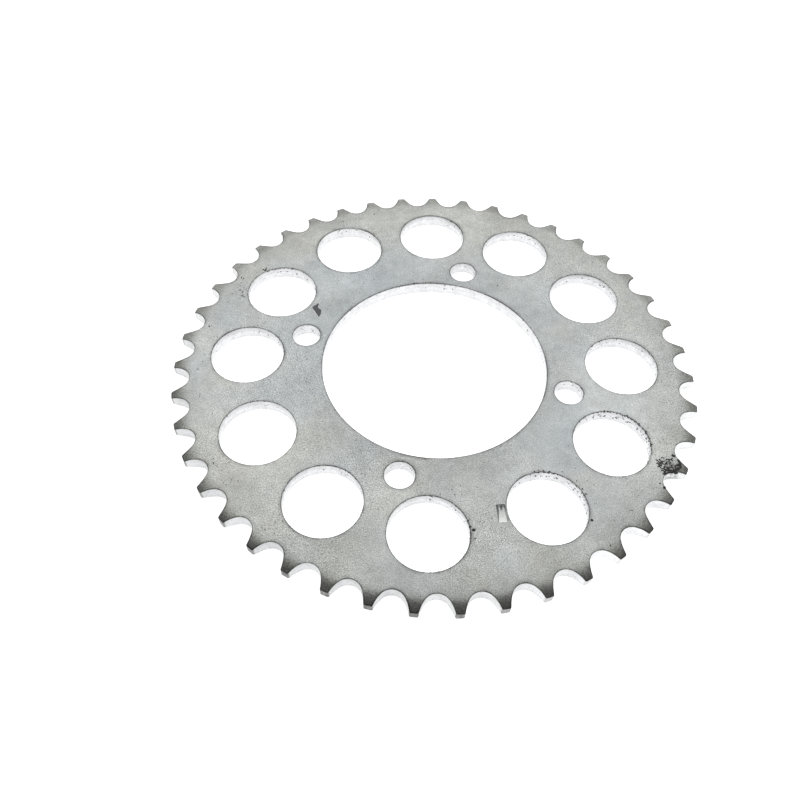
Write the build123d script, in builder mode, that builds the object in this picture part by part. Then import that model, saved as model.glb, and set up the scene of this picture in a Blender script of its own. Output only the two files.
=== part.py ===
from build123d import *
import math
import os

os.makedirs("parts", exist_ok=True)

# A rear sprocket for a roller chain of 5/8 inch pitch and 1/4 inch width: one flat steel plate, blanked
# and pierced in a press, with its teeth cut afterwards. It has no hub. Z is the axis of the bore, and the
# face that bolts against the wheel lies at Z = 0. The middle of a bolt hole lies on +X.

# The chain that the teeth carry
chain_pitch = 15.875
roller_diameter = 10.16
seat_clearance = 0.038  # added to the radius of the seat, so that a roller drops in freely

# Teeth
tooth_count = 43
tip_cut = 2.9  # how far the tips are cut off inside the points of the standard form
tooth_phase = 3.53  # degrees from the first bolt hole to the middle of a tooth

# Plate
plate_thickness = 5.8
side_relief_depth = 1.1  # turned off each face at the tips, to lead the chain's side plates on
side_relief_radius = 15.875
pierced_edge = 0.3  # the punch draws in the edge of each hole on the front face

# Openings and the webs between them, from the bore outward
bore_diameter = 96.0
bore_web = 3.75
bolt_count = 4
bolt_hole_diameter = 12.1
bolt_web = 1.15
rim_web = 7.8  # from the lightening holes to the bottoms of the tooth gaps

# The lightening holes are pierced in two runs of the indexing head. The first run meets the second in a
# narrow web, and the second meets the first in a wide one.
least_web = 9.5  # within a run, where what is left over round the plate is shared out
narrow_web = 8.65
wide_web = 15.7
first_run_start = 315.4  # degrees
second_run_count = 4

# The mark beside the first hole, left in the front face by a flat punch that leant over as it was struck
mark_gap = 0.65
mark_bearing = -111.6  # degrees from the first hole's outward radius to the mark
mark_turn = -5.0  # degrees that the mark's long side is off square to that line
mark_length = 7.4
mark_width = 3.4
mark_deep_end = 0.9
mark_shallow_end = 0.25

# The standard form of a roller-chain tooth gap. A roller's centre lies on the pitch circle. Round it runs
# the seating arc, then the flatter working arc, a short straight flank and the arc of the topping.
half_pitch_angle = math.pi / tooth_count
pitch_radius = chain_pitch / 2 / math.sin(half_pitch_angle)
seat_lean = math.radians(35 + 60 / tooth_count)
working_turn = math.radians(18 - 56 / tooth_count)
topping_lean = math.radians(17 - 64 / tooth_count)
seat_radius = 0.5025 * roller_diameter + seat_clearance
root_radius = pitch_radius - seat_radius
working_offset = 0.8 * roller_diameter
working_radius = working_offset + seat_radius
topping_offset = 1.4 * roller_diameter
topping_radius = (
    working_offset * math.cos(working_turn) + topping_offset * math.cos(topping_lean) - working_radius
)

# Centres and ends of these arcs on one side of a gap that opens along +X
flank_lean = seat_lean - working_turn
working_centre = (
    pitch_radius + working_offset * math.sin(seat_lean),
    -working_offset * math.cos(seat_lean),
)
topping_centre = (
    pitch_radius - topping_offset * math.sin(half_pitch_angle),
    topping_offset * math.cos(half_pitch_angle),
)
flank_end = (
    topping_centre[0] + topping_radius * math.sin(flank_lean),
    topping_centre[1] - topping_radius * math.cos(flank_lean),
)

# The topping arc ends where it meets the one of the next gap, at the point that an uncut tooth would have
chord_radius = pitch_radius * math.cos(half_pitch_angle)
point_height = math.sqrt(topping_radius**2 - (topping_offset - chain_pitch / 2) ** 2)
point_radius = chord_radius + point_height
point = (point_radius * math.cos(half_pitch_angle), point_radius * math.sin(half_pitch_angle))
tip_radius = point_radius - tip_cut

# The gap's shape is closed well outside the points
clear_radius = point_radius + roller_diameter
clear_corner = (clear_radius * math.cos(half_pitch_angle), clear_radius * math.sin(half_pitch_angle))

# The side relief is an arc, tangent to the face, that reaches its depth at the tips and runs on past them
relief_run = math.sqrt(side_relief_depth * (2 * side_relief_radius - side_relief_depth))
relief_start = tip_radius - relief_run
relief_sweep = math.degrees(math.asin((relief_run + tip_cut / 2) / side_relief_radius))

# The bolt holes lie just outside the bore, and the lightening holes fill what is left within the rim
bolt_circle_radius = bore_diameter / 2 + bore_web + bolt_hole_diameter / 2
lightening_inside = bolt_circle_radius + bolt_hole_diameter / 2 + bolt_web
lightening_outside = root_radius - rim_web
lightening_hole_radius = (lightening_outside - lightening_inside) / 2
lightening_circle_radius = (lightening_outside + lightening_inside) / 2


def turn_across(web):
    """Degrees from one lightening hole to the next, where this much of the plate is left between them."""
    return 2 * math.degrees(math.asin((lightening_hole_radius + web / 2) / lightening_circle_radius))


narrow_turn = turn_across(narrow_web)
wide_turn = turn_across(wide_web)
step_count = math.floor((360 - narrow_turn - wide_turn) / turn_across(least_web))
indexing_step = (360 - narrow_turn - wide_turn) / step_count
first_run_count = step_count + 2 - second_run_count
first_run_sweep = indexing_step * (first_run_count - 1)
second_run_sweep = indexing_step * (second_run_count - 1)
second_run_start = first_run_start + first_run_sweep + narrow_turn

# The mark's own plane stands upright along its long side, with X pointing along the mark to the rim
mark_direction = math.radians(first_run_start + mark_bearing)
mark_offset = lightening_hole_radius + mark_gap + mark_width / 2
mark_heading = mark_direction + math.radians(90 + mark_turn)
mark_plane = Plane(
    origin=(
        lightening_circle_radius * math.cos(math.radians(first_run_start))
        + mark_offset * math.cos(mark_direction),
        lightening_circle_radius * math.sin(math.radians(first_run_start))
        + mark_offset * math.sin(mark_direction),
        plate_thickness,
    ),
    x_dir=(math.cos(mark_heading), math.sin(mark_heading), 0),
    z_dir=(math.sin(mark_heading), -math.cos(mark_heading), 0),
)

with BuildSketch() as gap:
    with BuildLine():
        seat = CenterArc((pitch_radius, 0), seat_radius, 180, math.degrees(seat_lean) - 90)
        working = CenterArc(
            working_centre, working_radius, 90 + math.degrees(seat_lean), -math.degrees(working_turn)
        )
        flank = Line(working @ 1, flank_end)
        topping = RadiusArc(flank @ 1, point, -topping_radius)
        Polyline(topping @ 1, clear_corner, (clear_radius, 0))
        mirror(about=Plane.XZ)
    make_face()

with BuildPart() as sprocket:
    # The blank: a disc as wide as the tips, less the tooth gaps
    with BuildSketch():
        Circle(tip_radius)
        with PolarLocations(0, tooth_count, start_angle=tooth_phase + math.degrees(half_pitch_angle)):
            add(gap.sketch, mode=Mode.SUBTRACT)
    extrude(amount=plate_thickness)

    # The bore, the bolt holes and the lightening holes, pierced right through
    with BuildSketch():
        Circle(bore_diameter / 2)
        with PolarLocations(bolt_circle_radius, bolt_count):
            Circle(bolt_hole_diameter / 2)
        with PolarLocations(
            lightening_circle_radius, first_run_count, first_run_start, first_run_sweep, endpoint=True
        ):
            Circle(lightening_hole_radius)
        with PolarLocations(
            lightening_circle_radius, second_run_count, second_run_start, second_run_sweep, endpoint=True
        ):
            Circle(lightening_hole_radius)
    extrude(amount=plate_thickness, mode=Mode.SUBTRACT)
    pierced_rims = edges(Select.LAST).filter_by(GeomType.CIRCLE).group_by(Axis.Z)[-1]
    chamfer(pierced_rims, length=pierced_edge)

    # The punched mark, with a floor that rises towards the rim
    with BuildSketch(mark_plane):
        with BuildLine():
            Polyline(
                (-mark_length / 2, 0),
                (-mark_length / 2, -mark_deep_end),
                (mark_length / 2, -mark_shallow_end),
                (mark_length / 2, 0),
                close=True,
            )
        make_face()
    extrude(amount=mark_width / 2, both=True, mode=Mode.SUBTRACT)

    # The side relief, turned on both faces at once: what the lathe leaves is the section of the rim
    with BuildSketch(Plane.XZ):
        with BuildLine():
            lower = CenterArc((relief_start, side_relief_radius), side_relief_radius, -90, relief_sweep)
            upper = CenterArc(
                (relief_start, plate_thickness - side_relief_radius), side_relief_radius, 90, -relief_sweep
            )
            Line(lower @ 1, upper @ 1)
            Polyline(lower @ 0, (0, 0), (0, plate_thickness), upper @ 0)
        make_face()
    revolve(axis=Axis.Z, mode=Mode.INTERSECT)

sprocket.part.label = "sprocket"
export_step(sprocket.part, "parts/sprocket.step")
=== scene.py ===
import math
import random

import bpy
import numpy as np
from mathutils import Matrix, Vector, noise
from mathutils.geometry import delaunay_2d_cdt
from mathutils.kdtree import KDTree


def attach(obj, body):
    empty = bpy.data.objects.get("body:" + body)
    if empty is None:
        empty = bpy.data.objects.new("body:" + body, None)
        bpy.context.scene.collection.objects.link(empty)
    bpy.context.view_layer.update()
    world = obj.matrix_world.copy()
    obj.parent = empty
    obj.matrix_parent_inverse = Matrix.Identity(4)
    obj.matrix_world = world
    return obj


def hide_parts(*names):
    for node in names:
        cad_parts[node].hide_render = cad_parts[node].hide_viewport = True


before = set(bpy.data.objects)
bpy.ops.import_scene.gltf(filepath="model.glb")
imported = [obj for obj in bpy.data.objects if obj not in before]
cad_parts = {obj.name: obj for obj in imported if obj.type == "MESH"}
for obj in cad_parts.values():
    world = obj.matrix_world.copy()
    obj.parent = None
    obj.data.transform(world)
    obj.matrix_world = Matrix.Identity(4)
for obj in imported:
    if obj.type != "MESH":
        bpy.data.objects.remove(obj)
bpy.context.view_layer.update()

# The sprocket plate. One flat piece of carbon steel, blanked and pierced in a press, with its teeth milled
# and both faces of the rim turned back afterwards, then zinc plated. It bolts against the wheel's hub by
# the four small holes, and nothing is fixed to it. Sizes are in millimetres. +X runs through a bolt hole.
chain_pitch = 15.875
roller_diameter = 10.16
seat_clearance = 0.038  # so that a roller drops in freely
tooth_count = 43
tip_cut = 2.9  # how far the tips are cut off inside the points of the standard form
tooth_phase = 3.53  # degrees from +X to the middle of a tooth
plate_thickness = 5.8
side_relief_depth = 1.1  # turned off each face at the tips
side_relief_radius = 15.875
bore_radius = 48.0
bolt_circle_radius = 57.8
bolt_hole_radius = 6.05
lightening_circle_radius = 80.398
lightening_hole_radius = 15.398
lightening_angles = [315.4 + 29.798 * k for k in range(8)] + [192.389 + 29.798 * k for k in range(4)]
pierced_edge = 0.22  # the punch draws in the front edge of each hole
milled_edge = 0.18  # where tumbling took off the cutter's burr
back_edge = 0.14
broken_depth = 0.06  # how much wider a pierced hole is below, where the metal broke away
dark_edge_width = 0.17  # dirt, worn plating and painted shade darken this much of each face, along its edges
grimy_width = 1.5  # and a little grime spreads this far in
corner_rounding = 0.6  # where a flank of a tooth meets its tip

# The standard form of a roller-chain tooth gap: seating arc, flatter working arc and a short straight flank
half_pitch_angle = math.pi / tooth_count
pitch_radius = chain_pitch / 2 / math.sin(half_pitch_angle)
seat_lean = math.radians(35 + 60 / tooth_count)
working_turn = math.radians(18 - 56 / tooth_count)
topping_lean = math.radians(17 - 64 / tooth_count)
seat_radius = 0.5025 * roller_diameter + seat_clearance
working_offset = 0.8 * roller_diameter
working_radius = working_offset + seat_radius
topping_offset = 1.4 * roller_diameter
topping_radius = (
    working_offset * math.cos(working_turn) + topping_offset * math.cos(topping_lean) - working_radius
)
working_centre = np.array([
    pitch_radius + working_offset * math.sin(seat_lean),
    -working_offset * math.cos(seat_lean),
])
chord_radius = pitch_radius * math.cos(half_pitch_angle)
tip_radius = chord_radius + math.sqrt(topping_radius**2 - (topping_offset - chain_pitch / 2) ** 2) - tip_cut
relief_start = tip_radius - math.sqrt(side_relief_depth * (2 * side_relief_radius - side_relief_depth))


def polar(radius, degrees):
    """The point at this distance from the bore's axis, so many degrees round from +X."""
    angle = math.radians(degrees)
    return radius * np.array([math.cos(angle), math.sin(angle)])


def arc(centre, radius, start, end, spacing, bulging):
    """Points along an arc, angles in radians. Each row holds x, y and the direction out of the metal."""
    steps = max(1, math.ceil(abs(end - start) * radius / spacing))
    angles = np.linspace(start, end, steps + 1)
    ray = np.column_stack((np.cos(angles), np.sin(angles)))
    return np.hstack((np.asarray(centre) + radius * ray, ray if bulging else -ray))


def turned_by(points, angle):
    """The same points and directions, turned about the axis of the bore."""
    c, s = math.cos(angle), math.sin(angle)
    turn = np.array([[c, s], [-s, c]])
    return np.hstack((points[:, :2] @ turn, points[:, 2:] @ turn))


def tooth_outline():
    """The whole outer outline, anticlockwise: the standard tooth gap repeated, with tips between."""
    seat_end = math.pi / 2 + seat_lean
    flank_angle = seat_end - working_turn
    out = -np.array([math.cos(flank_angle), math.sin(flank_angle)])
    up = np.array([-out[1], out[0]])

    # The straight flank runs up to a small arc that rounds its corner with the tip. That arc takes up the
    # place of the standard topping arc, which is only 0.2 mm long on a tooth cut off this far in.
    flank_start = working_centre - working_radius * out
    beside = flank_start - corner_rounding * out
    run = math.sqrt((tip_radius - corner_rounding) ** 2 - beside @ beside + (beside @ up) ** 2) - beside @ up
    corner = beside + run * up
    corner_angle = math.atan2(corner[1], corner[0])
    shares = np.linspace(0, run, 4)[1:-1, None]
    flank = np.hstack((flank_start + shares * up, np.broadcast_to(out, (2, 2))))

    half = np.vstack((
        arc((pitch_radius, 0), seat_radius, math.pi, seat_end, spacing=0.55, bulging=False)[:-1],
        arc(working_centre, working_radius, seat_end, flank_angle, spacing=0.6, bulging=False),
        flank,
        arc(corner, corner_rounding, flank_angle - math.pi, corner_angle, spacing=0.14, bulging=True),
    ))
    tip_end = 2 * half_pitch_angle - corner_angle
    tip = arc((0, 0), tip_radius, corner_angle, tip_end, spacing=0.5, bulging=True)[1:-1]
    gap = np.vstack((half[:0:-1] * (1, -1, 1, -1), half, tip))
    phase = math.radians(tooth_phase) + half_pitch_angle
    return np.vstack([turned_by(gap, phase + 2 * half_pitch_angle * k) for k in range(tooth_count)])


def hole_outline(centre, radius, spacing):
    """A pierced hole's outline, clockwise, so that the metal is again on the left."""
    return arc(centre, radius, 2 * math.pi, 0, spacing, bulging=False)[:-1]


def relief(radius):
    """How far the turned rim lies below the flat face, and the sine of its slope."""
    run = np.clip(radius - relief_start, 0, None)
    return side_relief_radius - np.sqrt(side_relief_radius**2 - run**2), run / side_relief_radius


def wander(outline, seed, amount):
    """A factor near 1 that wanders along an outline, as no pressed or tumbled edge is even."""
    source = random.Random(seed)
    along = np.linspace(0, 2 * math.pi, len(outline), endpoint=False)
    wave = np.zeros(len(outline))
    for cycles in (3, 5, 8, 13, 21, 34, 55):
        wave += np.sin(cycles * along + source.uniform(0, 6.28)) * source.uniform(0.3, 1)
    return 1 + amount * wave / np.abs(wave).max()


# The mesh as it grows: points, the way each one faces, masks for the kinds of surface, and the sides' quads
places = []
directions = []
masks = {"rim": [], "grime": [], "pierced": [], "milled": [], "struck": [], "stain": []}
sides = []


def add_points(xy, z, direction=None, **kinds):
    """Adds points, with the direction their surface faces and how much of each kind of surface they are."""
    start, n = sum(map(len, places)), len(xy)
    places.append(np.column_stack((xy, np.broadcast_to(z, n))))
    directions.append(np.zeros((n, 3)) if direction is None else direction)
    for name, values in masks.items():
        values.append(np.broadcast_to(kinds.get(name, 0.0), n).astype(float))
    return np.arange(start, start + n)


def face_height(xy, side):
    """Height and direction of the front face (side 1) or the back face (side -1) above these points."""
    radius = np.hypot(xy[:, 0], xy[:, 1])
    drop, sine = relief(radius)
    middle = plate_thickness / 2
    tilt = np.column_stack((xy / radius[:, None] * sine[:, None], side * np.sqrt(1 - sine**2)))
    return middle + side * (middle - drop), tilt


def join(first, second):
    """Quads between two closed rows of as many points."""
    after_first, after_second = np.roll(first, -1), np.roll(second, -1)
    sides.append(np.column_stack((first, second, after_second, after_first)))


def edge_rows(outline, width, side, wall_kind, dirt_and_shade=1.0):
    """The rounded edge of a face along an outline, from the face's rim to the top of the wall."""
    xy, out = outline[:, :2], outline[:, 2:]
    height, tilt = face_height(xy, side)
    rows = []
    # These rows carry the dark edge line: partly dirt, and partly painted shade where the edge turns away
    # from the light
    for angle, rim, wall in ((0, 1, 0), (30, 1, 0), (60, 1, 0), (90, 0.3, 1)):
        c, s = math.cos(math.radians(angle)), math.sin(math.radians(angle))
        place = xy - out * (width * (1 - s))[:, None]
        level = face_height(place, side)[0] if angle < 90 else height
        facing = tilt * c + np.column_stack((out, np.zeros(len(out)))) * s
        facing /= np.linalg.norm(facing, axis=1)[:, None]
        kinds = {"rim": rim * dirt_and_shade, "grime": rim * dirt_and_shade, wall_kind: wall}
        rows.append(add_points(place, level - side * width * (1 - c), facing, **kinds))
    return rows


# Each hole's middle, radius and the spacing of its points: the bore, the bolt holes, the lightening holes
holes = [(np.zeros(2), bore_radius, 0.9)]
holes += [(polar(bolt_circle_radius, a), bolt_hole_radius, 0.6) for a in range(0, 360, 90)]
holes += [(polar(lightening_circle_radius, a), lightening_hole_radius, 0.8) for a in lightening_angles]
outlines = [(tooth_outline(), milled_edge, "milled")]
outlines += [(hole_outline(*hole), pierced_edge, "pierced") for hole in holes]

# The wall of a pierced hole is sheared smooth for the first two fifths of the plate. Below that the metal
# broke away, so the hole is a little wider there, and rough on a scale of about 1 mm and 0.4 mm.
front_rims = []
back_rims = []
for seed, (outline, edge, kind) in enumerate(outlines):
    xy, out = outline[:, :2], outline[:, 2:]
    front = edge_rows(outline, edge * wander(outline, seed, 0.3), 1, kind)
    back = edge_rows(outline, back_edge * wander(outline, seed + 100, 0.4), -1, kind, 0.08)
    top, bottom = [np.vstack(places)[row][:, 2] for row in (front[-1], back[-1])]
    level = np.column_stack((out, np.zeros(len(out))))
    rows = list(front)

    # How far down the wall its rows lie: those where it is smooth, and those where it is broken
    smooth_shares, broken_shares = (0.06, 0.4), (0.46, 0.6, 0.75, 0.9)
    if kind == "milled":
        smooth_shares, broken_shares = (0.08, 0.5), ()
    for share in smooth_shares:
        rows.append(add_points(xy, top + (bottom - top) * share, level, **{kind: 1}))
    for share in broken_shares:
        z = top + (bottom - top) * share
        torn = [
            noise.noise(Vector((x, y, h * 0.6)) * 0.9) + 0.5 * noise.noise(Vector((x, y, h)) * 2.3)
            for x, y, h in zip(xy[:, 0], xy[:, 1], z)
        ]
        depth = broken_depth + broken_depth * np.array(torn)
        rows.append(add_points(xy - out * depth[:, None], z, pierced=1))
    rows += back[::-1]
    for first, second in zip(rows, rows[1:]):
        join(first, second)
    front_rims.append(front[0])
    back_rims.append(back[0])

edge_finder = KDTree(sum(len(outline) for outline, _, _ in outlines))
edge_points = np.vstack([outline for outline, _, _ in outlines])
for i, point in enumerate(edge_points):
    edge_finder.insert((point[0], point[1], 0), i)
edge_finder.balance()


def inside(points, margin):
    """The points that lie in the metal, at least so far from every edge."""
    kept = []
    for point in points:
        _, i, distance = edge_finder.find((point[0], point[1], 0))
        x, y, nx, ny = edge_points[i]
        if distance >= margin and (point[0] - x) * nx + (point[1] - y) * ny < 0:
            kept.append(point)
    return np.array(kept)


def lay_face(rims, drawn, spare, side):
    """Triangles over one face, between its rims, along these drawn rows and through the spare points."""
    loops = list(rims) + list(drawn)
    ids = np.concatenate(loops + list(spare))
    flat = [Vector(p[:2]) for p in np.vstack(places)[ids]]
    lines = []
    owner = np.full(len(ids), -1)
    start = 0
    for n, loop in enumerate(loops):
        owner[start:start + len(loop)] = n if n < len(rims) else -1
        lines += [(start + i, start + (i + 1) % len(loop)) for i in range(len(loop))]
        start += len(loop)
    _, _, triangles, origins, _, _ = delaunay_2d_cdt(flat, lines, [], 1, 1e-7)
    triangles = np.array([o[0] for o in origins])[np.array(triangles)]

    # The triangles that have all their corners on one hole's rim span the hole, and are left out
    of_rim = owner[triangles]
    in_hole = (of_rim[:, 0] > 0) & (of_rim[:, 0] == of_rim[:, 1]) & (of_rim[:, 0] == of_rim[:, 2])
    triangles = ids[triangles[~in_hole]]
    return triangles if side > 0 else triangles[:, ::-1]


def face_points(xy, side, lift=0.0, **kinds):
    """Points on a face, which may stand a little proud of it or lie below it."""
    height, tilt = face_height(xy, side)
    flat = not np.any(lift)
    return add_points(xy, height + side * lift, tilt if flat else None, **kinds)


def rings(first, last, step, spacing, margin):
    """Rings of points round the bore's axis, kept clear of the edges."""
    points = []
    for radius in np.arange(first, last, step):
        n = round(2 * math.pi * radius / spacing)
        angle = np.linspace(0, 2 * math.pi, n, endpoint=False) + radius
        points.append(np.column_stack((radius * np.cos(angle), radius * np.sin(angle))))
    return inside(np.vstack(points), margin)


def beside_rims(width):
    """A row of points beside each rim, this far in from its rounded edge, where no other rim is nearer."""
    rows = [outline[:, :2] - outline[:, 2:] * (edge + width) for outline, edge, _ in outlines]
    return inside(np.vstack(rows), milled_edge + width * 0.8)


# The mark beside the first hole is left by a flat punch that leant over. Its floor rises to the rim.
mark_centre = np.array([41.007, -63.614])
mark_heading = math.radians(288.8)  # the way its long side runs, towards the rim
mark_length = 7.4
mark_width = 3.4
mark_corner = 0.45
mark_edge = 0.12
mark_deep_end = 0.55
mark_shallow_end = 0.2

along = np.array([math.cos(mark_heading), math.sin(mark_heading)])
across = np.array([-along[1], along[0]])
corner_arcs = []
for sx, sy, degrees in ((1, 1, 90), (1, -1, 0), (-1, -1, -90), (-1, 1, -180)):
    corner = mark_centre + along * (mark_length / 2 - mark_corner) * sx
    corner = corner + across * (mark_width / 2 - mark_corner) * sy
    first = mark_heading + math.radians(degrees)
    corner_arcs.append(arc(corner, mark_corner, first, first - math.pi / 2, spacing=0.14, bulging=True))
mark_outline = np.vstack(corner_arcs)
mark_outline[:, 2:] *= -1
mark_share = (mark_outline[:, :2] - mark_centre) @ along / mark_length + 0.5
# Painted shade: the edge line and grime are painted darkest at the mark's deep end, whose wall faces away
# from the light
mark_edge_shade = np.clip(0.9 - 6 * mark_share, 0.15, 1)
mark_rows = edge_rows(mark_outline, np.full(len(mark_outline), mark_edge), 1, "pierced", mark_edge_shade)


def mark_floor(xy):
    """Height of the punched floor at these points."""
    share = (xy - mark_centre) @ along / mark_length + 0.5
    return plate_thickness - mark_deep_end + (mark_deep_end - mark_shallow_end) * share


# Its floor is narrower at the deep end, where the sides of the punch slope in. Towards the other end it is
# painted bright, a painted highlight where the floor tilts towards the light.
slant = np.clip(1 - 1.7 * mark_share, 0, 1)
reach = (mark_outline[:, :2] - mark_centre) @ across
reach = np.clip(reach, -mark_width / 2 + 0.2 + 1.2 * slant, mark_width / 2 - 0.2 - 0.6 * slant)
run = np.clip(mark_share - 0.5, -0.46, 0.47) * mark_length
floor_rim = mark_centre + run[:, None] * along + reach[:, None] * across
floor_highlight = np.clip((run / mark_length + 0.3) * 1.3, 0, 1)
# Painted shade: the floor's rim is darker near the deep end, in the shade of the end wall
deep_end_shade = 0.5 * np.clip(0.3 - mark_share, 0, 0.3)
last = add_points(floor_rim, mark_floor(floor_rim), rim=deep_end_shade, struck=floor_highlight)

# A fan of facets runs from the floor's rim to two points inside it
waist = mark_centre + np.array([[-0.05], [0.12]]) * mark_length * along
middle = add_points(waist, mark_floor(waist), struck=np.array([0.1, 0.4]))
for first, second in zip(mark_rows[:-1], mark_rows[1:]):
    join(first, second)
before = mark_rows[-1]
hub = middle[(run > 0.035 * mark_length).astype(int)]
seam = np.nonzero(hub != np.roll(hub, -1))[0]
mark_facets = np.vstack((
    np.column_stack((np.roll(last, -1), last, hub)),
    np.column_stack((np.roll(last, -1)[seam], hub[seam], np.roll(hub, -1)[seam])),
    np.column_stack((before, last, np.roll(last, -1))),
    np.column_stack((before, np.roll(last, -1), np.roll(before, -1))),
))

# A flake of dark scale on the face, beside a lightening hole: sharp edged, and slightly sunk
flake = np.array([
    (-60.85, 16.43), (-60.17, 17.92), (-59.52, 18.56), (-59.35, 19.32), (-58.7, 19.51), (-58.51, 17.68),
    (-58.12, 16.95), (-56.32, 15.99), (-55.85, 13.32), (-56.17, 11.77), (-57.13, 12.76), (-58.83, 14.56),
])
flake_middle = np.array([-58.4, 15.8])
flake_rings = [
    face_points(flake_middle + (flake - flake_middle) * scale, 1, lift, stain=stain)
    for scale, lift, stain in ((1.05, 0.0, 0), (1.0, -0.03, 1))
]

# Spare points: about 3 mm apart on the flat face, and closer on the turned rim, which curves
plain = rings(first=51, last=103.5, step=3.0, spacing=3.0, margin=1.9)
turned = rings(first=104.2, last=tip_radius, step=0.62, spacing=0.8, margin=0.75)


def away_from_marks(points, distance):
    """The points that lie this far from the punched mark and the flake."""
    from_mark = points - mark_centre
    beyond_end = np.clip(np.abs(from_mark @ along) - mark_length / 2, 0, None)
    beyond_side = np.clip(np.abs(from_mark @ across) - mark_width / 2, 0, None)
    from_flake = np.min(np.linalg.norm(points[:, None] - flake, axis=2), axis=1)
    from_middle = np.linalg.norm(points - flake_middle, axis=1)
    nearest = np.minimum(np.hypot(beyond_end, beyond_side), np.minimum(from_flake, from_middle - 1))
    return points[nearest > distance]


def spare_points(side):
    """The points that carry each mask's strength inward from the rims, and the plain ones between them."""
    kept = away_from_marks if side > 0 else (lambda points, distance: points)
    points = [face_points(kept(plain, 1.6), side), face_points(turned, side, rim=0)]
    for width, rim, grime in ((dark_edge_width, 1, 1), (dark_edge_width + 0.1, 0, 0.9), (grimy_width, 0, 0)):
        strength = 1.0 if side > 0 else 0.4
        row = kept(beside_rims(width), 0.4 + width / 3)
        points.append(face_points(row, side, rim=rim * strength, grime=grime * strength))
    return points


beside_mark = inside(mark_outline[:, :2] - mark_outline[:, 2:] * (mark_edge + 0.12), milled_edge * 2)
front_spare = spare_points(1) + [face_points(beside_mark, 1)]
front_face = lay_face(front_rims + [mark_rows[0]], flake_rings, front_spare, 1)
back_face = lay_face(back_rims, [], spare_points(-1), -1)

# Soft patches of lighter and darker tone: partly uneven zinc and partly painted light and shade, as on the
# teeth towards -Y and at the far rim. Each is x, y, reach and how much lighter
tone_and_light_patches = (
    (12, -57, 13, -0.14), (-12, -54, 10, -0.06), (-33, -50, 9, -0.09), (62, -33, 12, -0.15),
    (45, -21, 9, -0.06), (33, -47, 8, -0.14), (41, -63, 8, -0.11), (22, -48, 8, -0.1),
    (-12, -90, 8, -0.18), (59, -76, 8, -0.12), (48, -83, 7, 0.06), (77, 1, 11, 0.1), (88, -7, 9, 0.06),
    (93, -22, 8, 0.1), (-2, -101, 8, 0.1), (31, -101, 7, -0.12), (-40, -96, 8, 0.12), (-46, -79, 7, 0.13),
    (-78, -68, 11, 0.17), (-57, -88, 7, 0.12), (-105, -14, 8, 0.12), (-100, -38, 8, 0.07),
    (-55.4, -77.6, 4.5, -0.12), (-48.9, -82, 4.5, -0.14), (-42.5, -86.8, 4, -0.11), (-60.5, -77, 4, -0.1),
    (-86, 52, 10, -0.12), (-71, 74, 8, -0.1), (-20, 93, 9, 0.3), (-2, 84, 8, 0.14), (10, 105, 8, -0.16),
    (60, 74, 9, 0.07), (78, 58, 9, 0.07), (89, 36, 9, 0.06), (-97, 1, 8, -0.09), (-32, 53, 9, -0.06),
    (57, -7, 7, -0.08), (-70, 0, 8, -0.05), (70, 80, 5, -0.06), (83, 68, 5, -0.08), (95, 49, 5, -0.06),
    (104, 25, 5, -0.06), (10, -108, 13, -0.08), (50, -95, 13, -0.1), (90, -60, 13, -0.14),
)
# The zinc also has a warmer or cooler cast in places: x, y, reach and how much warmer
casts = (
    (-45, 38, 22, -0.3), (-52, 8, 16, -0.15), (45, 26, 18, -0.1), (58, -26, 14, -0.4),
    (-50, -50, 24, 0.45), (0, -54, 16, 0.4), (-60, -75, 20, 0.35), (-55, 82, 22, 0.2), (40, 88, 20, 0.2),
    (85, -48, 22, -0.25), (15, -95, 20, -0.2), (-90, 20, 16, -0.15), (-86, 49, 12, 0.3),
    (-71, 74, 10, 0.16), (-12, 95, 14, 0.3), (13, 98, 11, 0.5), (40, 85, 9, -0.25), (68, 68, 12, 0.15),
    (89, 36, 11, 0.15), (98, 30, 7, -0.3), (-98, 29, 8, 0.8), (-100, -30, 9, -0.3), (-84, -32, 7, 0.4),
    (-95, 0, 10, -0.55), (-11, -92, 11, 0.45), (-3, -73, 6, 0.4), (-35, -89, 7, 0.35),
    (-33, -50, 8, 0.25), (-48, -43, 7, -0.45), (28, -56, 8, 0.55), (26, -42, 6, 0.3), (31, -71, 6, 0.35),
    (59, -76, 9, 0.45), (47, -84, 7, -0.5), (-67, 40, 9, -0.5), (50, 33, 8, 0.5), (44, 19, 6, 0.35),
    (0, 75, 8, 0.4), (57, -7, 7, -0.4), (70, -41, 6, 0.4), (-70, 0, 9, -0.3), (-62, -33, 9, -0.6),
    (-71, -42, 6, -0.3),
)
everywhere = np.vstack(places)
for name, spots in (("lighter", tone_and_light_patches), ("warmer", casts)):
    total = np.zeros(len(everywhere))
    for x, y, patch_reach, amount in spots:
        away = np.hypot(everywhere[:, 0] - x, everywhere[:, 1] - y) / patch_reach
        total += amount * np.exp(-away**2)
    masks[name] = [total * (everywhere[:, 2] > plate_thickness / 2)]

# The mesh is put together in metres. Only the punched floor keeps flat facets.
place = np.vstack(places) * 0.001
faces = [list(map(int, f)) for f in np.vstack(sides)]
faces += [list(map(int, f)) for f in np.vstack((front_face, back_face, mark_facets))]
mesh = bpy.data.meshes.new("sprocket_plate")
mesh.from_pydata(place.tolist(), [], faces)
for name, values in masks.items():
    mesh.attributes.new(name, "FLOAT", "POINT").data.foreach_set("value", np.concatenate(values))
smooth = [True] * (len(faces) - len(mark_facets)) + [False] * len(mark_facets)
mesh.polygons.foreach_set("use_smooth", smooth)
mesh.update()
mesh.normals_split_custom_set_from_vertices(np.vstack(directions).tolist())
sprocket_plate = bpy.data.objects.new("sprocket_plate", mesh)
bpy.context.collection.objects.link(sprocket_plate)


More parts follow.
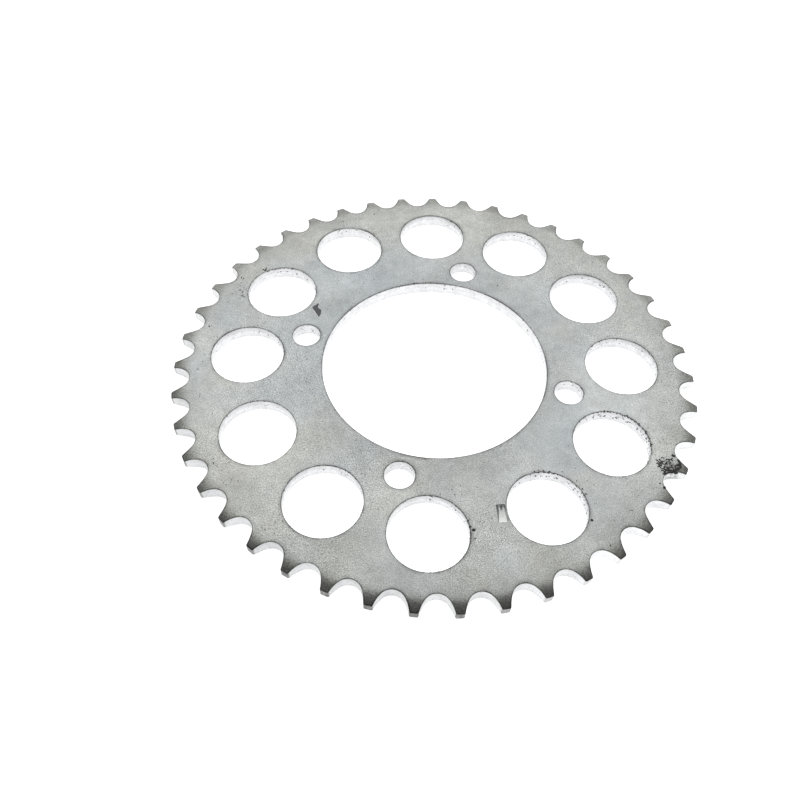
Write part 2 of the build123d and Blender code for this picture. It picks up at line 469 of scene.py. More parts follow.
def linear(colour):
    """An sRGB hex colour as linear red, green, blue and alpha."""
    parts = [int(colour[i:i + 2], 16) / 255 for i in (1, 3, 5)]
    return [c / 12.92 if c <= 0.04045 else ((c + 0.055) / 1.055) ** 2.4 for c in parts] + [1]


def add(tree, kind, inputs=None, **settings):
    """Adds a node. An input is a value, or what to link it to: a socket, or a node for its first output."""
    node = tree.nodes.new(kind)
    for name, value in settings.items():
        setattr(node, name, value)
    for key, value in (inputs or {}).items():
        if isinstance(value, bpy.types.Node):
            value = value.outputs[0]
        if isinstance(value, bpy.types.NodeSocket):
            tree.links.new(value, node.inputs[key])
        else:
            node.inputs[key].default_value = value
    return node


# Zinc plated steel: bright zinc over a blasted and tumbled face, which gives a pale satin grey with a fine
# salt and pepper grain. Handling and oil leave soft clouds on it. A thin dark line at each edge is partly
# grime and partly painted shade.
zinc_plated_steel = bpy.data.materials.new("zinc_plated_steel")
zinc_plated_steel.use_nodes = True
tree = zinc_plated_steel.node_tree
tree.nodes.clear()
coordinates = add(tree, "ShaderNodeTexCoord")
mm = add(tree, "ShaderNodeVectorMath", {
    0: coordinates.outputs["Object"], "Scale": 1000.0}, operation="SCALE")
kinds = {}
for name in masks:
    kinds[name] = add(tree, "ShaderNodeAttribute", attribute_name=name).outputs["Fac"]

# The face. A noise's scale is one over its size in millimetres, and the inputs 1 to 4 of a map range are
# the range that it reads and the range that it gives. The zinc has broad clouds and a finer mottling, and
# its grey turns cooler or warmer over the plate. Its grain, in some places calmer than in others, is drawn
# 0.39 mm wide, coarser than the real one, which would be finer than a pixel.
position = add(tree, "ShaderNodeSeparateXYZ", {0: mm})
flat = add(tree, "ShaderNodeCombineXYZ", {0: position.outputs["X"], 1: position.outputs["Y"]})
radius = add(tree, "ShaderNodeVectorMath", {0: flat}, operation="LENGTH").outputs["Value"]
cloud = add(tree, "ShaderNodeTexNoise", {"Vector": mm, "Scale": 1 / 20, "Detail": 6.0, "Roughness": 0.7})
drift = add(tree, "ShaderNodeTexNoise", {"Vector": mm, "Scale": 1 / 34, "Detail": 5.0, "Roughness": 0.65})
grain = add(tree, "ShaderNodeTexNoise", {
    "Vector": mm, "Scale": 1 / 0.39, "Detail": 1.0, "Roughness": 0.6})
outward = add(tree, "ShaderNodeMapRange", {0: radius, 1: 50.0, 2: 105.0, 3: -0.22, 4: 0.22})
uneven = add(tree, "ShaderNodeMapRange", {0: drift, 1: 0.32, 2: 0.68, 3: 0.2, 4: 0.8})
spread = add(tree, "ShaderNodeMath", {0: uneven, 1: outward}, operation="ADD")
warmth = add(tree, "ShaderNodeMath", {0: spread, 1: kinds["warmer"]}, operation="ADD", use_clamp=True)
face_colour = add(tree, "ShaderNodeMix", {
    0: warmth, 6: linear("#B8BDBF"), 7: linear("#BEBFBA")}, data_type="RGBA")
shade = add(tree, "ShaderNodeMapRange", {0: cloud, 1: 0.3, 2: 0.7, 3: 0.83, 4: 1.1})
calm = add(tree, "ShaderNodeTexNoise", {"Vector": mm, "Scale": 1 / 45, "Detail": 1.0})
low = add(tree, "ShaderNodeMapRange", {0: calm, 1: 0.35, 2: 0.65, 3: 0.44, 4: 0.72})
high = add(tree, "ShaderNodeMath", {0: 1.97, 1: low}, operation="SUBTRACT")
speckle = add(tree, "ShaderNodeMapRange", {0: grain, 1: 0.3, 2: 0.7, 3: low, 4: high})
patch = add(tree, "ShaderNodeMath", {0: 1.0, 1: kinds["lighter"]}, operation="ADD")
rim_shade = add(tree, "ShaderNodeMapRange", {0: radius, 1: 93.0, 2: 102.0, 3: 1.0, 4: 0.94})
bore_shade = add(tree, "ShaderNodeMapRange", {0: radius, 1: 48.0, 2: 66.0, 3: 0.88, 4: 1.0})
mottle = add(tree, "ShaderNodeTexNoise", {
    "Vector": mm, "Scale": 1 / 3.6, "Detail": 2.0, "Roughness": 0.55})
mottle_level = add(tree, "ShaderNodeMapRange", {0: mottle, 1: 0.3, 2: 0.7, 3: 0.93, 4: 1.07})
clouded = add(tree, "ShaderNodeMath", {0: shade, 1: mottle_level}, operation="MULTIPLY")
ringed = add(tree, "ShaderNodeMath", {0: bore_shade, 1: rim_shade}, operation="MULTIPLY")
shaded = add(tree, "ShaderNodeMath", {0: clouded, 1: ringed}, operation="MULTIPLY")
patched = add(tree, "ShaderNodeMath", {0: shaded, 1: patch}, operation="MULTIPLY")
grained = add(tree, "ShaderNodeMath", {0: patched, 1: speckle}, operation="MULTIPLY")

# Small dark pits, 0.3 to 0.7 mm across, lie in clusters
pits = add(tree, "ShaderNodeTexVoronoi", {
    "Vector": flat, "Scale": 1 / 1.3, "Randomness": 1.0}, voronoi_dimensions="2D")
pit_colour = add(tree, "ShaderNodeSeparateColor", {0: pits.outputs["Color"]})
cluster = add(tree, "ShaderNodeTexNoise", {"Vector": mm, "Scale": 1 / 11, "Detail": 2.0})
chance = add(tree, "ShaderNodeMapRange", {0: cluster, 1: 0.5, 2: 0.72, 3: 0.004, 4: 0.22})
chosen = add(tree, "ShaderNodeMath", {0: pit_colour.outputs["Red"], 1: chance}, operation="LESS_THAN")
pit_size = add(tree, "ShaderNodeMapRange", {
    0: pit_colour.outputs["Green"], 1: 0.0, 2: 1.0, 3: 0.1, 4: 0.26})
pit_edge = add(tree, "ShaderNodeMath", {0: pits.outputs["Distance"], 1: pit_size}, operation="LESS_THAN")
pit = add(tree, "ShaderNodeMath", {0: chosen, 1: pit_edge}, operation="MULTIPLY")
pit_level = add(tree, "ShaderNodeMapRange", {0: pit, 1: 0.0, 2: 1.0, 3: 1.0, 4: 0.5})
pitted = add(tree, "ShaderNodeMath", {0: grained, 1: pit_level}, operation="MULTIPLY")
toned = add(tree, "ShaderNodeVectorMath", {0: face_colour.outputs[2], "Scale": pitted}, operation="SCALE")
dull = add(tree, "ShaderNodeVectorMath", {0: linear("#999A95")[:3], "Scale": pitted}, operation="SCALE")

# The rim, which was turned, is duller than the face
turned_share = add(tree, "ShaderNodeMapRange", {
    0: radius, 1: 102.4, 2: 108.0, 3: 0.0, 4: 1.0}, interpolation_type="SMOOTHSTEP")
not_milled = add(tree, "ShaderNodeMath", {0: 1.0, 1: kinds["milled"]}, operation="SUBTRACT")
turned_mask = add(tree, "ShaderNodeMath", {0: turned_share, 1: not_milled}, operation="MULTIPLY")
turned_mix = add(tree, "ShaderNodeMix", {0: turned_mask, 6: toned, 7: dull}, data_type="RGBA")

# The walls are clean bright zinc low down, and greyer towards the front edge, where dirt and oil collect:
# less in the bolt holes and the bore, and little on the teeth, which the chain wipes. Towards +X the teeth's
# walls are painted lighter and less grey, a painted light from that side. A faint uneven line shows where
# the punch stopped shearing and the metal broke.
stretch = add(tree, "ShaderNodeVectorMath", {0: mm, 1: (1.0, 1.0, 0.35)}, operation="MULTIPLY")
streak = add(tree, "ShaderNodeTexNoise", {
    "Vector": stretch, "Scale": 1 / 1.1, "Detail": 3.0, "Roughness": 0.6})
wall_dots = add(tree, "ShaderNodeTexNoise", {"Vector": mm, "Scale": 1 / 0.5, "Detail": 1.0})
height = add(tree, "ShaderNodeMath", {0: position.outputs["Z"], 1: streak, 2: 1.0}, operation="ADD")
rise = add(tree, "ShaderNodeMapRange", {0: height, 1: 3.3, 2: 6.2, 3: 0.0, 4: 1.0})
from_oil = add(tree, "ShaderNodeTexNoise", {"Vector": mm, "Scale": 1 / 13, "Detail": 2.0})
oiled = add(tree, "ShaderNodeMapRange", {0: from_oil, 1: 0.34, 2: 0.66, 3: 0.35, 4: 1.3})
milled_oil_and_painted_light = add(tree, "ShaderNodeMapRange", {
    0: position.outputs["X"], 1: 30.0, 2: 75.0, 3: 0.34, 4: 0.08})
oil_share = add(tree, "ShaderNodeMapRange", {0: kinds["milled"], 1: 0.0, 2: 1.0, 3: 1.0, 4: milled_oil_and_painted_light})
inner = add(tree, "ShaderNodeMapRange", {0: radius, 1: 63.5, 2: 66.0, 3: 0.45, 4: 1.0})
dusty = add(tree, "ShaderNodeMath", {0: rise, 1: inner}, operation="MULTIPLY")
collected = add(tree, "ShaderNodeMath", {0: dusty, 1: oiled}, operation="MULTIPLY", use_clamp=True)
wall_grey = add(tree, "ShaderNodeMath", {0: collected, 1: oil_share}, operation="MULTIPLY")
wall_colour = add(tree, "ShaderNodeMix", {
    0: wall_grey, 6: linear("#EBECED"), 7: linear("#BFC0C2")}, data_type="RGBA")
dot_level = add(tree, "ShaderNodeMapRange", {0: wall_dots, 1: 0.6, 2: 0.74, 3: 1.0, 4: 0.55})
off_line = add(tree, "ShaderNodeMath", {0: height, 1: 4.0}, operation="SUBTRACT")
line_gap = add(tree, "ShaderNodeMath", {0: off_line}, operation="ABSOLUTE")
line_depth = add(tree, "ShaderNodeMapRange", {0: kinds["pierced"], 1: 0.0, 2: 1.0, 3: 1.0, 4: 0.86})
line_level = add(tree, "ShaderNodeMapRange", {0: line_gap, 1: 0.05, 2: 0.22, 3: line_depth, 4: 1.0})
blotch = add(tree, "ShaderNodeTexNoise", {
    "Vector": mm, "Scale": 1 / 3.5, "Detail": 2.0, "Roughness": 0.6})
blotch_level = add(tree, "ShaderNodeMapRange", {0: blotch, 1: 0.3, 2: 0.7, 3: 0.9, 4: 1.07})
marked = add(tree, "ShaderNodeMath", {0: dot_level, 1: line_level}, operation="MULTIPLY")
painted_light_by_x = add(tree, "ShaderNodeMapRange", {0: position.outputs["X"], 1: 40.0, 2: 85.0, 3: 0.87, 4: 1.06})
patchily = add(tree, "ShaderNodeMapRange", {0: from_oil, 1: 0.38, 2: 0.62, 3: 1.05, 4: 0.95})
by_side = add(tree, "ShaderNodeMath", {0: painted_light_by_x, 1: patchily}, operation="MULTIPLY")
duller = add(tree, "ShaderNodeMapRange", {0: kinds["milled"], 1: 0.0, 2: 1.0, 3: 1.0, 4: by_side})
milled_level = add(tree, "ShaderNodeMath", {0: marked, 1: duller}, operation="MULTIPLY")
wall_level = add(tree, "ShaderNodeMath", {0: milled_level, 1: blotch_level}, operation="MULTIPLY")
wall_toned = add(tree, "ShaderNodeVectorMath", {
    0: wall_colour.outputs[2], "Scale": wall_level}, operation="SCALE")
wall = add(tree, "ShaderNodeMath", {
    0: kinds["pierced"], 1: kinds["milled"]}, operation="ADD", use_clamp=True)
wall_mix = add(tree, "ShaderNodeMix", {
    0: wall, 6: turned_mix.outputs[2], 7: wall_toned}, data_type="RGBA")

# The cut ends of the tips are worn and stained in streaks, with painted shade that darkens them towards -Y
# and painted light that takes their stain away towards +X.
tip_share = add(tree, "ShaderNodeMapRange", {0: radius, 1: 109.9, 2: 110.6, 3: 0.0, 4: 1.0})
tip_painted_light = add(tree, "ShaderNodeMapRange", {0: position.outputs["X"], 1: 42.0, 2: 78.0, 3: 1.0, 4: 0.2})
tip_worn_and_lit = add(tree, "ShaderNodeMath", {0: tip_share, 1: tip_painted_light}, operation="MULTIPLY")
tip_wall = add(tree, "ShaderNodeMath", {0: tip_worn_and_lit, 1: kinds["milled"]}, operation="MULTIPLY")
worn = add(tree, "ShaderNodeTexNoise", {
    "Vector": stretch, "Scale": 1 / 1.3, "Detail": 3.0, "Roughness": 0.7})
worn_share = add(tree, "ShaderNodeMapRange", {0: worn, 1: 0.36, 2: 0.64, 3: 0.0, 4: 1.0})
tip_colour = add(tree, "ShaderNodeMix", {
    0: worn_share, 6: linear("#686968"), 7: linear("#AFB0AE")}, data_type="RGBA")
tip_painted_shade = add(tree, "ShaderNodeMapRange", {
    0: position.outputs["Y"], 1: -106.0, 2: -90.0, 3: 0.68, 4: 1.0})
tip_toned = add(tree, "ShaderNodeVectorMath", {
    0: tip_colour.outputs[2], "Scale": tip_painted_shade}, operation="SCALE")
milled_mix = add(tree, "ShaderNodeMix", {
    0: tip_wall, 6: wall_mix.outputs[2], 7: tip_toned}, data_type="RGBA")

# Grime spreads in from the edges in patches. A broken dark line follows each edge: partly dirt, and partly
# painted shade on the rounded edge, which turns away from the light. The floor of the punched mark has a
# painted highlight, and the flake of scale is dark.
patchy = add(tree, "ShaderNodeTexNoise", {"Vector": mm, "Scale": 1 / 14, "Detail": 3.0, "Roughness": 0.7})
grime_level = add(tree, "ShaderNodeMapRange", {0: patchy, 1: 0.42, 2: 0.7, 3: 0.0, 4: 0.62})
grime_share = add(tree, "ShaderNodeMath", {0: kinds["grime"], 1: grime_level}, operation="MULTIPLY")
grime_mix = add(tree, "ShaderNodeMix", {
    0: grime_share, 6: milled_mix.outputs[2], 7: linear("#4A4946")}, data_type="RGBA")
dirt_and_shade_break = add(tree, "ShaderNodeTexNoise", {
    "Vector": mm, "Scale": 1 / 1.1, "Detail": 2.0, "Roughness": 0.7})
dirt_and_shade_level = add(tree, "ShaderNodeMapRange", {0: dirt_and_shade_break, 1: 0.3, 2: 0.65, 3: 0.2, 4: 0.85})
patch_level = add(tree, "ShaderNodeMapRange", {0: patchy, 1: 0.35, 2: 0.6, 3: 0.6, 4: 1.0})
dirt_and_shade = add(tree, "ShaderNodeMath", {0: dirt_and_shade_level, 1: patch_level}, operation="MULTIPLY")
rim_share = add(tree, "ShaderNodeMath", {0: kinds["rim"], 1: dirt_and_shade}, operation="MULTIPLY")
rim_mix = add(tree, "ShaderNodeMix", {
    0: rim_share, 6: grime_mix.outputs[2], 7: linear("#2A2A29")}, data_type="RGBA")
# The painted highlight on the punched floor
struck_share = add(tree, "ShaderNodeMath", {0: kinds["struck"], 1: 0.8}, operation="MULTIPLY")
struck_mix = add(tree, "ShaderNodeMix", {
    0: struck_share, 6: rim_mix.outputs[2], 7: linear("#EDEDEA")}, data_type="RGBA")
stain_mix = add(tree, "ShaderNodeMix", {
    0: kinds["stain"], 6: struck_mix.outputs[2], 7: linear("#595A5C")}, data_type="RGBA")

# A thin oily film round the heavy smear of grease, within 5.6 mm of its middle
smear_middle = (100.6, -26.0, 0.0)
from_smear = add(tree, "ShaderNodeVectorMath", {0: flat, 1: smear_middle}, operation="DISTANCE")
smear_reach = add(tree, "ShaderNodeMapRange", {
    0: from_smear.outputs["Value"], 1: 2.2, 2: 5.6, 3: 0.62, 4: 0.0})
thin = add(tree, "ShaderNodeTexNoise", {"Vector": mm, "Scale": 1 / 1.5, "Detail": 3.0, "Roughness": 0.6})
thin_level = add(tree, "ShaderNodeMapRange", {0: thin, 1: 0.38, 2: 0.6, 3: 0.0, 4: 1.0})
film = add(tree, "ShaderNodeMath", {0: smear_reach, 1: thin_level}, operation="MULTIPLY")
film_mix = add(tree, "ShaderNodeMix", {
    0: film, 6: stain_mix.outputs[2], 7: linear("#33322F")}, data_type="RGBA")

# The grain stands up to 0.03 mm proud
bump = add(tree, "ShaderNodeBump", {"Height": grain, "Strength": 0.5, "Distance": 0.00003})
steel = add(tree, "ShaderNodeBsdfPrincipled", {
    "Base Color": film_mix.outputs[2], "Metallic": 1.0, "Roughness": 0.38, "Normal": bump})
add(tree, "ShaderNodeOutputMaterial", {"Surface": steel})
mesh.materials.append(zinc_plated_steel)
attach(sprocket_plate, "root")
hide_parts("sprocket")

# Old chain grease. Black lumps of it, thickened with dust and steel, cling where the sprocket was not wiped:
# a heavy smear over the foot of one tooth, and specks along the edges and down the walls of the holes.
lump_places = []
lump_faces = []


def daub(spine, normals, width, height, seed):
    """A closed lump of grease along a line, as a flattened tube that swells, thins and ends in a point."""
    spine, normals = np.asarray(spine, float), np.asarray(normals, float)
    run = np.concatenate(([0], np.cumsum(np.linalg.norm(np.diff(spine, axis=0), axis=1))))

    # The lump's rings lie 0.35 mm apart, or closer together near the ends of a short lump
    rings_wanted = max(5, math.ceil(run[-1] / 0.35))
    shares = np.linspace(0, 1, rings_wanted + 2)
    if run[-1] < 3 * width:
        shares = (1 - np.cos(np.linspace(0, math.pi, rings_wanted + 2))) / 2
    centre = np.column_stack([np.interp(shares * run[-1], run, spine[:, i]) for i in range(3)])
    normal = np.column_stack([np.interp(shares * run[-1], run, normals[:, i]) for i in range(3)])
    forward = np.gradient(centre, axis=0)
    forward /= np.linalg.norm(forward, axis=1)[:, None]
    sideways = np.cross(normal, forward)
    end = np.minimum(shares, 1 - shares) * run[-1] / min(width, run[-1] / 2)
    swell = np.sqrt(1 - (1 - np.clip(end, 0, 1)) ** 2)
    start = sum(map(len, lump_places))

    # Noise about as wide as the lump makes it uneven
    around = 7
    body = []
    for i in range(1, len(shares) - 1):
        for k in range(around):
            turn = 2 * math.pi * k / around
            wide, high = math.cos(turn) * width, math.sin(turn) * height
            spot = centre[i] + sideways[i] * wide + normal[i] * high
            rough = 1 + 0.55 * noise.noise(Vector(spot) * (0.9 / width) + Vector((seed * 7.3, 0, 0)))
            reach = swell[i] * rough
            body.append(centre[i] + sideways[i] * wide * reach + normal[i] * high * reach)
    lump_places.append(np.vstack((centre[:1], body, centre[-1:])))
    last = start + 1 + (len(shares) - 2) * around
    for k in range(around):
        after = (k + 1) % around
        lump_faces.append((start, start + 1 + after, start + 1 + k))
        lump_faces.append((last, last - around + k, last - around + after))
        for i in range(len(shares) - 3):
            ring = start + 1 + i * around
            lump_faces.append((ring + k, ring + after, ring + around + after, ring + around + k))


def face_daub(line, width, height, seed):
    """A daub on the front face, along these points of it."""
    line = np.asarray(line, float)
    level, tilt = face_height(line, 1)
    daub(np.column_stack((line, level)), tilt, width, height, seed)


# The heavy smear runs along the edge of a tooth gap, up the tooth and over its corner, in lumps of these
# widths. Thin strands comb out from it over the flat face, towards the hole.
heavy = (
    ([(98.3, -29.9), (99.4, -29.0), (100.9, -28.4), (102.2, -27.9)], 0.5),
    ([(101.3, -28.0), (102.5, -27.2), (103.4, -26.2), (104.6, -24.9)], 0.62),
    ([(104.5, -25.6), (104.9, -24.3), (104.4, -22.6), (103.5, -21.2)], 0.55),
    ([(103.2, -24.6), (104.3, -23.6), (104.9, -22.6)], 0.5),
    ([(101.2, -20.5), (101.8, -19.9), (102.6, -20.4)], 0.6),
    ([(98.6, -28.9), (99.6, -27.8), (100.6, -27.5), (101.9, -26.8)], 0.34),
    ([(103.9, -27.0), (103.0, -28.0), (102.3, -28.3)], 0.55),
)
strands = (
    [(95.0, -23.7), (95.8, -24.1), (96.6, -24.6), (97.3, -25.4)],
    [(95.3, -25.6), (96.1, -25.3), (97.1, -25.9), (97.9, -26.3)],
    [(95.9, -27.1), (96.7, -26.6), (97.5, -27.2), (98.5, -27.4)],
    [(96.3, -22.9), (96.9, -23.8), (97.8, -24.0), (98.6, -23.6)],
    [(97.4, -28.4), (98.2, -28.0), (98.9, -28.5)],
    [(97.6, -24.9), (98.5, -25.2), (99.2, -24.7), (100.0, -24.9)],
    [(98.1, -26.5), (99.0, -26.1), (99.9, -26.6), (100.7, -26.2)],
    [(98.9, -23.0), (99.7, -22.3), (100.5, -22.5), (101.2, -21.6)],
    [(99.3, -27.3), (100.1, -26.9), (100.9, -27.2)],
    [(100.2, -25.7), (101.1, -25.9), (101.9, -25.3)],
    [(97.0, -22.3), (97.7, -22.0), (98.4, -22.4)],
    [(95.9, -24.8), (96.5, -26.0), (97.3, -26.4)],
    [(98.8, -25.4), (98.6, -26.9), (99.0, -27.9)],
    [(99.6, -23.4), (99.2, -24.3), (98.6, -25.3)],
    [(100.9, -23.2), (100.6, -24.3), (100.9, -25.3)],
    [(97.6, -23.6), (97.2, -24.9), (97.6, -25.9)],
    [(99.6, -28.2), (99.1, -27.3), (98.2, -27.3)],
    [(101.0, -27.9), (100.4, -26.7), (99.8, -25.8)],
    [(102.4, -27.0), (102.0, -26.1), (101.3, -25.2), (101.6, -24.2)],
    [(103.2, -26.0), (102.7, -25.2), (102.9, -24.2)],
    [(100.0, -21.9), (100.4, -22.8), (100.1, -23.6)],
    [(101.6, -20.9), (101.2, -22.0), (101.7, -22.9)],
    [(96.4, -25.4), (97.3, -24.6), (98.2, -24.5)],
    [(99.9, -29.4), (98.9, -29.7), (98.1, -29.4)],
    [(-91.4, 33.5), (-90.4, 33.0), (-89.2, 32.5)],
    [(-89.6, 35.2), (-89.8, 33.9), (-89.8, 32.7)],
)
for seed, (line, width) in enumerate(heavy):
    face_daub(line, width, 0.11, seed)
for seed, line in enumerate(strands):
    face_daub(line, 0.26, 0.07, seed + 20)

# Single specks on the face: where each one lies, and its width
specks = (
    (32.33, -73.08, 0.7), (30.84, -72.06, 0.45), (33.38, -76.38, 0.36), (31.6, -75.6, 0.26),
    (38, -71, 0.22), (73.84, -57.31, 0.6), (97.45, -34.4, 0.4), (99.23, -35.74, 0.7),
    (93.07, -17.02, 0.5), (70.45, -46.72, 0.4), (68.87, -44.95, 0.34), (49.92, -42.19, 0.34),
    (51.32, -41.09, 0.3), (53.26, -40.97, 0.4), (55.55, -40.61, 0.36), (17.4, 53.63, 0.3),
    (73.08, -5.47, 0.34), (74.62, -5.3, 0.4), (82.47, -5.43, 0.44), (88.03, -49.17, 0.3),
    (81.55, -65.85, 0.36), (-89.32, 33.29, 0.42), (-51.8, 86, 0.36), (-65.17, 76.28, 0.34),
    (-93.53, 14.74, 0.3), (-100.63, -7.09, 0.4), (-95.43, -30.8, 0.3), (87.6, -8.2, 0.36),
    (90.4, -11.2, 0.4), (92.2, -14.3, 0.34), (60.4, -39.4, 0.28), (66.2, -42, 0.26), (29.6, -69.9, 0.3),
    (25.1, -62.9, 0.26), (22.4, -60.6, 0.3), (-70.6, -72.1, 0.4), (-71.4, -70.3, 0.22),
    (-99.1, 17.3, 0.22), (-97.7, 16.5, 0.2), (-95.8, 17.7, 0.34), (-94.6, 16.3, 0.3), (-93.4, 14.3, 0.3),
    (-92.5, 14, 0.22), (-94.1, 12.6, 0.2), (-97.8, 18.8, 0.2), (-99.2, 14, 0.18), (-94, 18.6, 0.2),
    (-100.9, 12.4, 0.2), (-98.6, 9.2, 0.18), (-89.3, -42.7, 0.26), (-89, -43.7, 0.26),
    (-80.5, -50.4, 0.26), (-95.3, -26.4, 0.24), (-100, -6.2, 0.2), (-100.9, -6.5, 0.2),
    (-64.2, 5.2, 0.16), (-78.9, -35.8, 0.16), (-29.24, 38.8, 0.22), (-27.59, 39.99, 0.2),
    (-26.03, 41.02, 0.24), (-20.84, 43.88, 0.36), (-20.15, 44.21, 0.4), (-19.29, 44.58, 0.32),
    (-18.51, 44.91, 0.34), (-16.3, 45.77, 0.26), (-15.33, 46.1, 0.32), (-14.12, 46.48, 0.26),
    (-13.06, 46.79, 0.3), (-11.92, 47.1, 0.22), (-98.5, 25.1, 0.36), (-97.5, 25.2, 0.28),
    (-97.3, 22.1, 0.26), (-96.5, 17.5, 0.3), (-94.6, 17.2, 0.34), (-92.9, 18.1, 0.2), (-98.7, 14.5, 0.32),
    (-94.2, 14.4, 0.34), (-93.8, 15.3, 0.24), (-92.6, 14, 0.3), (-96.7, 14.2, 0.22), (-99.3, 12.7, 0.2),
    (-97.1, 20, 0.18), (-95.4, 21.2, 0.16), (-94.7, 12.1, 0.2), (-93.7, 19.3, 0.18), (-95.4, 34.3, 0.22),
    (-98.5, 25.8, 0.3), (-97.3, 24.7, 0.24), (-80.7, 60.5, 0.24), (-79.9, 55.5, 0.22),
    (-80.2, 62.2, 0.26), (-79.8, 53.7, 0.18), (-70.5, 40.2, 0.16),
)
for seed, (x, y, width) in enumerate(specks):
    lean = seed * 2.4
    step = np.array([math.cos(lean), math.sin(lean)]) * width
    face_daub([(x, y) - step, (x, y), (x, y) + step], width * 0.9, 0.1, seed + 60)


def wall_daub(centre, hole_radius, bearing, depth, width, seed):
    """A speck on a hole's wall, at this bearing from the hole's middle and this far below the front face."""
    bearings = bearing + np.array([-0.7, 0, 0.7]) * width / hole_radius
    ray = np.column_stack((np.cos(bearings), np.sin(bearings), np.zeros(3)))
    height = plate_thickness - max(depth, width * 0.62)
    spine = np.array([*centre, height]) + ray * (hole_radius, hole_radius, 1)
    daub(spine, -ray, width * 0.6, 0.1, seed)


# Most of the specks on the walls lie just below the edge, or in a line where the sheared band ends
speck_draw = random.Random(5738)
speck_counts = (  # in the order of the holes
    40, 26, 26, 26, 26, 90, 110, 50, 40, 36, 30, 20, 40, 26, 26, 26, 50,
)
for (centre, hole_radius, _), how_many in zip(holes, speck_counts):
    for _ in range(how_many):
        bearing = math.radians(speck_draw.choice((speck_draw.gauss(60, 42), speck_draw.uniform(0, 360))))
        band = speck_draw.choice((0.1, 0.35, 0.5, 2.3, 2.5, 3.4))
        depth = abs(speck_draw.gauss(band, 0.3))
        width = speck_draw.choice((0.2, 0.25, 0.3, 0.4, 0.5))
        wall_daub(centre, hole_radius, bearing, depth, width, speck_draw.uniform(0, 50))

# Bigger crumbs lie below the edges of four holes, caught where the chain threw them. For each hole they are
# listed by bearing in degrees, depth below the front face, and width.
crumbs = (
    (345.198, (
        (34, 0.3, 0.75), (21, 0.9, 0.65), (12, 0.4, 0.9), (28, 1.6, 0.5), (98, 0.1, 0.6), (88, 0.1, 0.5),
        (107, 0.15, 0.7), (76, 0.1, 0.6), (64, 0.2, 0.5), (117, 0.2, 0.6), (50, 0.3, 0.6), (5, 1.8, 0.5),
    )),
    (163.986, (
        (137, 0.05, 0.55), (134, 0.05, 0.5), (128, 0.05, 0.4), (121, 0.05, 0.4), (114, 0.05, 0.4),
        (107, 0.05, 0.42), (100, 0.05, 0.4), (93, 0.05, 0.5), (86, 0.05, 0.42), (39, 1.2, 0.4),
    )),
    (345.198, (
        (125, 0.05, 0.5), (112, 0.05, 0.45), (102, 0.04, 0.5), (93, 0.05, 0.45), (82, 0.05, 0.4),
        (70, 0.05, 0.45), (58, 0.06, 0.5), (43, 0.1, 0.45),
    )),
    (315.4, (
        (112, 0.1, 0.6), (104, 0.1, 0.55), (97, 0.15, 0.6), (90, 0.1, 0.6), (84, 0.15, 0.45),
        (36, 0.2, 0.6), (29, 0.2, 0.6), (22, 0.3, 0.5),
    )),
    (281.783, (
        (24, 0.2, 0.5), (16, 0.25, 0.55), (8, 0.3, 0.4), (100, 0.2, 0.5),
    )),
)
for angle, hole_crumbs in crumbs:
    for bearing, depth, width in hole_crumbs:
        centre = polar(lightening_circle_radius, angle)
        wall_daub(centre, lightening_hole_radius, math.radians(bearing), depth, width, bearing)

grease_mesh = bpy.data.meshes.new("old_grease")
grease_mesh.from_pydata((np.vstack(lump_places) * 0.001).tolist(), [], lump_faces)
grease_mesh.polygons.foreach_set("use_smooth", [True] * len(grease_mesh.polygons))
grease_mesh.update()
old_grease = bpy.data.objects.new("old_grease", grease_mesh)
bpy.context.collection.objects.link(old_grease)

# Dried lithium grease: a dark dielectric that is nearly black, dull where dust has stuck to it
dried_grease = bpy.data.materials.new("dried_chain_grease")
dried_grease.use_nodes = True
tree = dried_grease.node_tree
tree.nodes.clear()
coordinates = add(tree, "ShaderNodeTexCoord")
mm = add(tree, "ShaderNodeVectorMath", {
    0: coordinates.outputs["Object"], "Scale": 1000.0}, operation="SCALE")
dust = add(tree, "ShaderNodeTexNoise", {"Vector": mm, "Scale": 1 / 0.7, "Detail": 2.0})
dust_share = add(tree, "ShaderNodeMapRange", {0: dust, 1: 0.4, 2: 0.75, 3: 0.0, 4: 1.0})
grease_colour = add(tree, "ShaderNodeMix", {
    0: dust_share, 6: linear("#161512"), 7: linear("#45433D")}, data_type="RGBA")
grease = add(tree, "ShaderNodeBsdfPrincipled", {
    "Base Color": grease_colour.outputs[2], "Roughness": 0.5, "IOR": 1.46})
add(tree, "ShaderNodeOutputMaterial", {"Surface": grease})
grease_mesh.materials.append(dried_grease)
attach(old_grease, "root")

# The table that it lies on: smooth white board, which shows as white wherever the object's shadow isn't.
# Sizes are in metres from here on.
table_half = 6
table_level = -0.00002
table_glow = 0.88
floor_mesh = bpy.data.meshes.new("white_table")
corners = [(x * table_half, y * table_half, table_level) for x, y in ((-1, -1), (1, -1), (1, 1), (-1, 1))]
floor_mesh.from_pydata(corners, [], [(0, 1, 2, 3)])
white_table = bpy.data.objects.new("white_table", floor_mesh)
bpy.context.collection.objects.link(white_table)

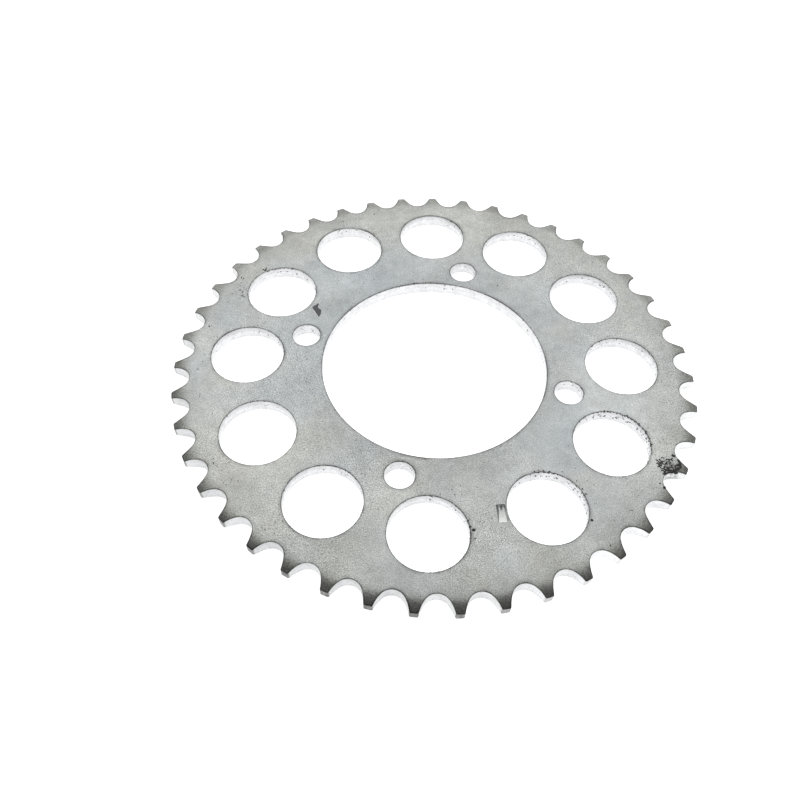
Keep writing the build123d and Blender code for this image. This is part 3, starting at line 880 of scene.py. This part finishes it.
# White board: matt and even, and lit through so that the camera and the zinc's reflections see it as white
white_board = bpy.data.materials.new("white_board")
white_board.use_nodes = True
tree = white_board.node_tree
tree.nodes.clear()
path = add(tree, "ShaderNodeLightPath")
seen = add(tree, "ShaderNodeMath", {
    0: path.outputs["Is Camera Ray"], 1: path.outputs["Is Glossy Ray"]}, operation="ADD", use_clamp=True)
shown = add(tree, "ShaderNodeMath", {
    0: seen, 1: path.outputs["Is Transmission Ray"]}, operation="ADD", use_clamp=True)
level = add(tree, "ShaderNodeMath", {0: shown, 1: table_glow}, operation="MULTIPLY")
glow = add(tree, "ShaderNodeEmission", {"Color": linear("#FFFFFF"), "Strength": level})
board = add(tree, "ShaderNodeBsdfDiffuse", {"Color": linear("#E7E7E7")})
lit = add(tree, "ShaderNodeAddShader", {0: glow, 1: board})
add(tree, "ShaderNodeOutputMaterial", {"Surface": lit})
floor_mesh.materials.append(white_board)


def softbox(name, azimuth, elevation, distance, width, height, watts):
    """A soft light that faces the sprocket, out of the camera's sight."""
    a, e = math.radians(azimuth), math.radians(elevation)
    lamp = bpy.data.lights.new(name, "AREA")
    lamp.shape = "RECTANGLE"
    lamp.size, lamp.size_y, lamp.energy = width, height, watts
    box = bpy.data.objects.new(name, lamp)
    box.location = Vector((math.cos(a) * math.cos(e), math.sin(a) * math.cos(e), math.sin(e))) * distance
    box.rotation_euler = box.location.to_track_quat("Z", "Y").to_euler()
    box.visible_camera = False
    bpy.context.collection.objects.link(box)


# Two wide softboxes stand behind the table, one above the other
softbox("far_high_softbox", azimuth=99.5, elevation=65, distance=0.9, width=1.5, height=0.56, watts=2.95)
softbox("far_low_softbox", azimuth=99.5, elevation=34, distance=0.9, width=1.5, height=0.5, watts=1.85)

# The studio is bright near the horizon and dim overhead, which gives the faces their even pale grey
world = bpy.data.worlds.new("studio")
bpy.context.scene.world = world
world.use_nodes = True
tree = world.node_tree
tree.nodes.clear()
direction = add(tree, "ShaderNodeTexCoord")
split = add(tree, "ShaderNodeSeparateXYZ", {0: direction.outputs["Generated"]})
horizon = add(tree, "ShaderNodeMapRange", {
    0: split.outputs["Z"], 1: 0.3, 2: 0.52, 3: 1.0, 4: 0.15}, interpolation_type="SMOOTHSTEP")
sky = add(tree, "ShaderNodeBackground", {"Color": linear("#FFFFFF"), "Strength": horizon})
add(tree, "ShaderNodeOutputWorld", {"Surface": sky})

# The camera of the photograph, recovered from the holes and the tooth gaps that it shows
camera_data = bpy.data.cameras.new("camera")
camera_data.lens = 34.265
camera_data.sensor_width = 36
camera = bpy.data.objects.new("camera", camera_data)
camera.location = (0.034298, -0.205638, 0.257809)
camera.rotation_euler = [math.radians(a) for a in (36.652, -1.196, 14.990)]
bpy.context.collection.objects.link(camera)
bpy.context.scene.camera = camera
bpy.context.scene.view_settings.view_transform = "Standard"
